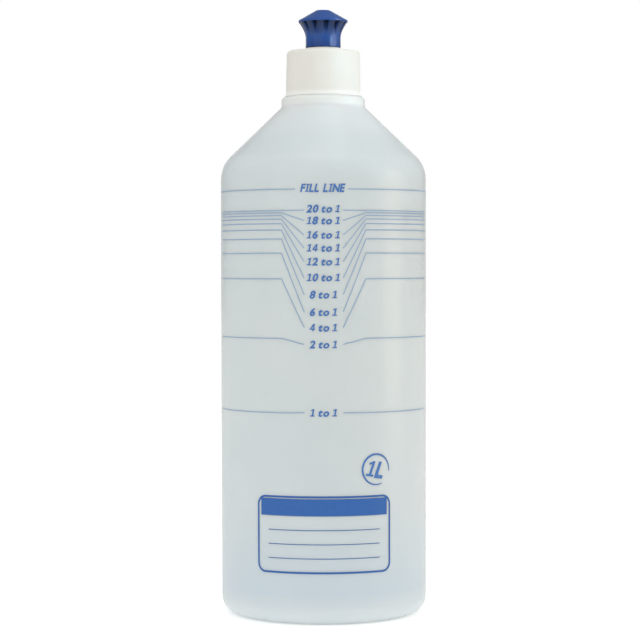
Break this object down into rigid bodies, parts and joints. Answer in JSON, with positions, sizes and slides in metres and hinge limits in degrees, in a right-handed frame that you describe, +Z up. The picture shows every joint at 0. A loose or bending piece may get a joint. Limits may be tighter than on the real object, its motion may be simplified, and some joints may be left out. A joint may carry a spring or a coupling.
{
  "type": "mixing bottle",
  "caption": "Round translucent plastic dosing bottle with a sloping shoulder, a threaded neck, a screw cap and a ribbed push-pull spout that opens and shuts the pouring hole.",
  "frame": {"origin": "centre of the base, on the plane of the ring that the bottle stands on", "axes": "+Z up the axis of the bottle to the spout; the printed scale faces -Y"},
  "size_m": [0.087, 0.087, 0.2556],
  "materials": {
    "bottle_plastic": "natural translucent polyethylene, satin",
    "liner_foam": "white closed-cell foam",
    "cap_plastic": "warm white polypropylene, satin",
    "spout_plastic": "blue polyethylene, semi-gloss"
  },
  "bodies": {
    "bottle": {"bottle_base": "bottle_plastic", "bottle_wall": "bottle_plastic", "bottle_shoulder": "bottle_plastic", "bottle_neck": "bottle_plastic"},
    "liner": {"cap_liner": "liner_foam"},
    "cap": {"screw_cap": "cap_plastic"},
    "spout": {"push_pull_spout": "spout_plastic"}
  },
  "joints": [
    {"name": "cap_lift", "type": "slide", "parent": "bottle", "child": "liner", "axis": [0, 0, 1], "range_m": [0, 0.0211]},
    {"name": "cap_turn", "type": "hinge", "parent": "liner", "child": "cap", "pos_m": [0, 0, 0.2367], "axis": [0, 0, 1], "range_deg": [0, 1800]},
    {"name": "spout_pull", "type": "slide", "parent": "cap", "child": "spout", "axis": [0, 0, 1], "range_m": [0, 0.006]}
  ],
  "couplings": [
    {"joint": "cap_lift", "follows": "cap_turn", "m_per_rad": 0.00066845}
  ]
}
